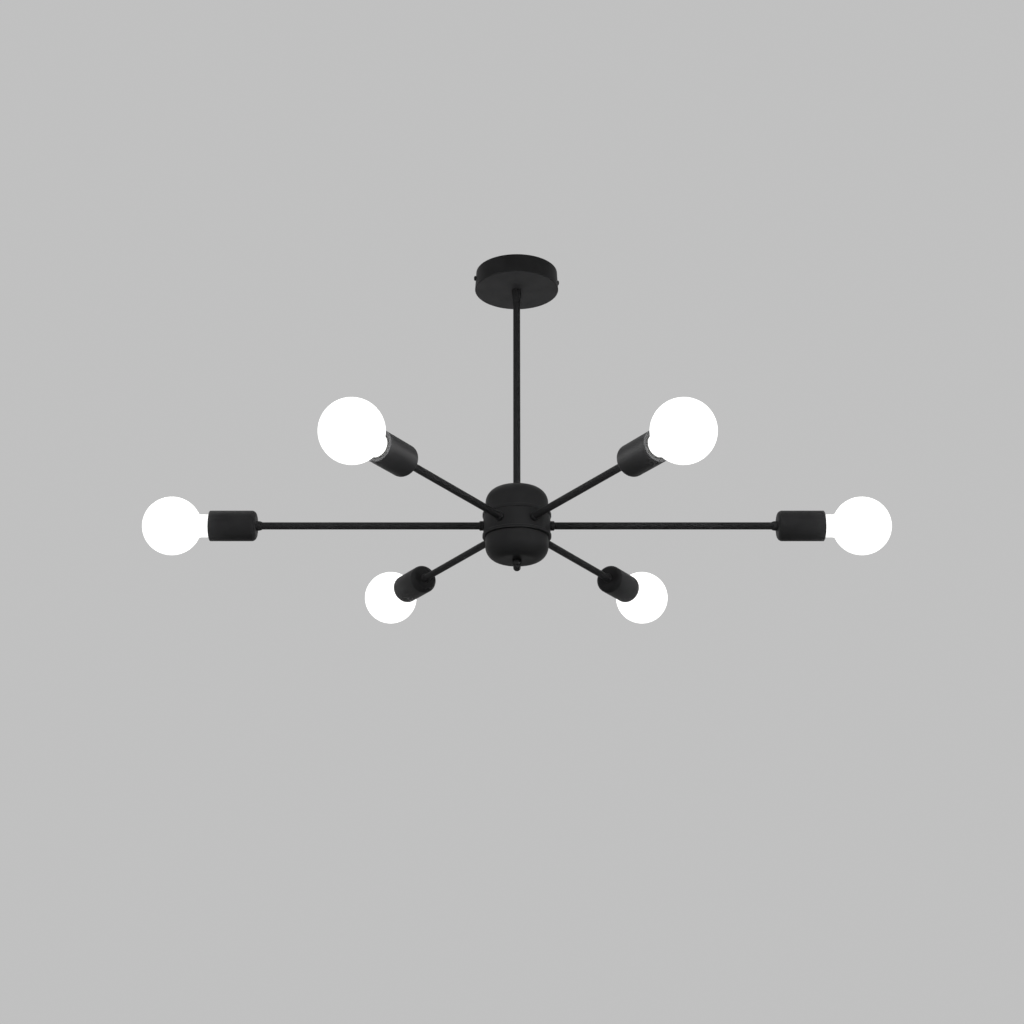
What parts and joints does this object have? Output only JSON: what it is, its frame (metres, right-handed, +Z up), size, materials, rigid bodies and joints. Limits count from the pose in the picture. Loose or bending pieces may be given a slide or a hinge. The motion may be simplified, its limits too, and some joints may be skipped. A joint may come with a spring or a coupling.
{
  "type": "ceiling light",
  "caption": "Matte black ceiling light on a rigid rod: round canopy, domed hub and straight level arms that end in plain cups with globe bulbs.",
  "frame": {"origin": "on the ceiling plane, at the centre between the two ceiling screw holes and on the rod's axis", "axes": "+Z up into the ceiling, so the light hangs towards -Z; +X along one long arm"},
  "size_m": [1.025, 0.758, 0.4518],
  "materials": {
    "black_coat": "matte black powder coat with a fine texture",
    "opal_glass": "opal white glass, lit from inside",
    "zinc_steel": "zinc plated, satin",
    "brass": "plain brass",
    "bright_alloy": "drawn aluminium, satin",
    "black_thermoplastic": "black heat-resistant plastic, matte",
    "ivory_plastic": "ivory plastic",
    "brown_sheath": "brown insulation",
    "blue_sheath": "blue insulation",
    "green_sheath": "green insulation"
  },
  "bodies": {
    "fixture": {"ceiling_bracket": "zinc_steel", "canopy": "black_coat", "terminal_block": "ivory_plastic", "terminal_screws": "brass", "earth_screws": "brass", "down_rod": "black_coat", "rod_collar": "black_coat", "rod_nuts": "zinc_steel", "supply_lead_live": "brown_sheath", "supply_lead_neutral": "blue_sheath", "supply_lead_earth": "green_sheath", "hub_top_cover": "black_coat", "hub_band": "black_coat", "hub_plate": "zinc_steel", "finial_bracket": "zinc_steel", "finial_stud": "zinc_steel", "stud_nuts": "zinc_steel", "wire_connectors": "ivory_plastic", "arm_tube_1": "black_coat", "arm_tube_2": "black_coat", "arm_tube_3": "black_coat", "arm_tube_4": "black_coat", "arm_tube_5": "black_coat", "arm_tube_6": "black_coat", "arm_collars": "black_coat", "arm_nuts": "zinc_steel", "cup_collars": "black_coat", "socket_cup_1": "black_coat", "socket_cup_2": "black_coat", "socket_cup_3": "black_coat", "socket_cup_4": "black_coat", "socket_cup_5": "black_coat", "socket_cup_6": "black_coat", "lampholder_1": "black_thermoplastic", "lampholder_2": "black_thermoplastic", "lampholder_3": "black_thermoplastic", "lampholder_4": "black_thermoplastic", "lampholder_5": "black_thermoplastic", "lampholder_6": "black_thermoplastic", "lampholder_shells": "bright_alloy", "lampholder_contacts": "brass", "arm_leads_live": "brown_sheath", "arm_leads_neutral": "blue_sheath"},
    "bulb_1": {"bulb_globe_1": "opal_glass", "bulb_cap_1": "bright_alloy"},
    "bulb_2": {"bulb_globe_2": "opal_glass", "bulb_cap_2": "bright_alloy"},
    "bulb_3": {"bulb_globe_3": "opal_glass", "bulb_cap_3": "bright_alloy"},
    "bulb_4": {"bulb_globe_4": "opal_glass", "bulb_cap_4": "bright_alloy"},
    "bulb_5": {"bulb_globe_5": "opal_glass", "bulb_cap_5": "bright_alloy"},
    "bulb_6": {"bulb_globe_6": "opal_glass", "bulb_cap_6": "bright_alloy"},
    "canopy_screw_1": {"canopy_screw_1": "black_coat"},
    "canopy_screw_2": {"canopy_screw_2": "black_coat"},
    "bottom_cover": {"hub_bottom_cover": "black_coat"},
    "finial": {"finial": "black_coat"}
  },
  "joints": [
    {"name": "bulb_1_unscrew", "type": "slide", "parent": "fixture", "child": "bulb_1", "axis": [1, 0, 0], "range_m": [0, 0.04]},
    {"name": "bulb_2_unscrew", "type": "slide", "parent": "fixture", "child": "bulb_2", "axis": [0.5, 0.866, 0], "range_m": [0, 0.04]},
    {"name": "bulb_3_unscrew", "type": "slide", "parent": "fixture", "child": "bulb_3", "axis": [-0.5, 0.866, 0], "range_m": [0, 0.04]},
    {"name": "bulb_4_unscrew", "type": "slide", "parent": "fixture", "child": "bulb_4", "axis": [-1, 0, 0], "range_m": [0, 0.04]},
    {"name": "bulb_5_unscrew", "type": "slide", "parent": "fixture", "child": "bulb_5", "axis": [-0.5, -0.866, 0], "range_m": [0, 0.04]},
    {"name": "bulb_6_unscrew", "type": "slide", "parent": "fixture", "child": "bulb_6", "axis": [0.5, -0.866, 0], "range_m": [0, 0.04]},
    {"name": "canopy_screw_1_out", "type": "slide", "parent": "fixture", "child": "canopy_screw_1", "axis": [-0.9925, -0.1219, 0], "range_m": [0, 0.012]},
    {"name": "canopy_screw_2_out", "type": "slide", "parent": "fixture", "child": "canopy_screw_2", "axis": [0.9925, 0.1219, 0], "range_m": [0, 0.012]},
    {"name": "bottom_cover_drop", "type": "slide", "parent": "fixture", "child": "bottom_cover", "axis": [0, 0, -1], "range_m": [0, 0.07]},
    {"name": "finial_unscrew", "type": "slide", "parent": "bottom_cover", "child": "finial", "axis": [0, 0, -1], "range_m": [0, 0.02]}
  ]
}
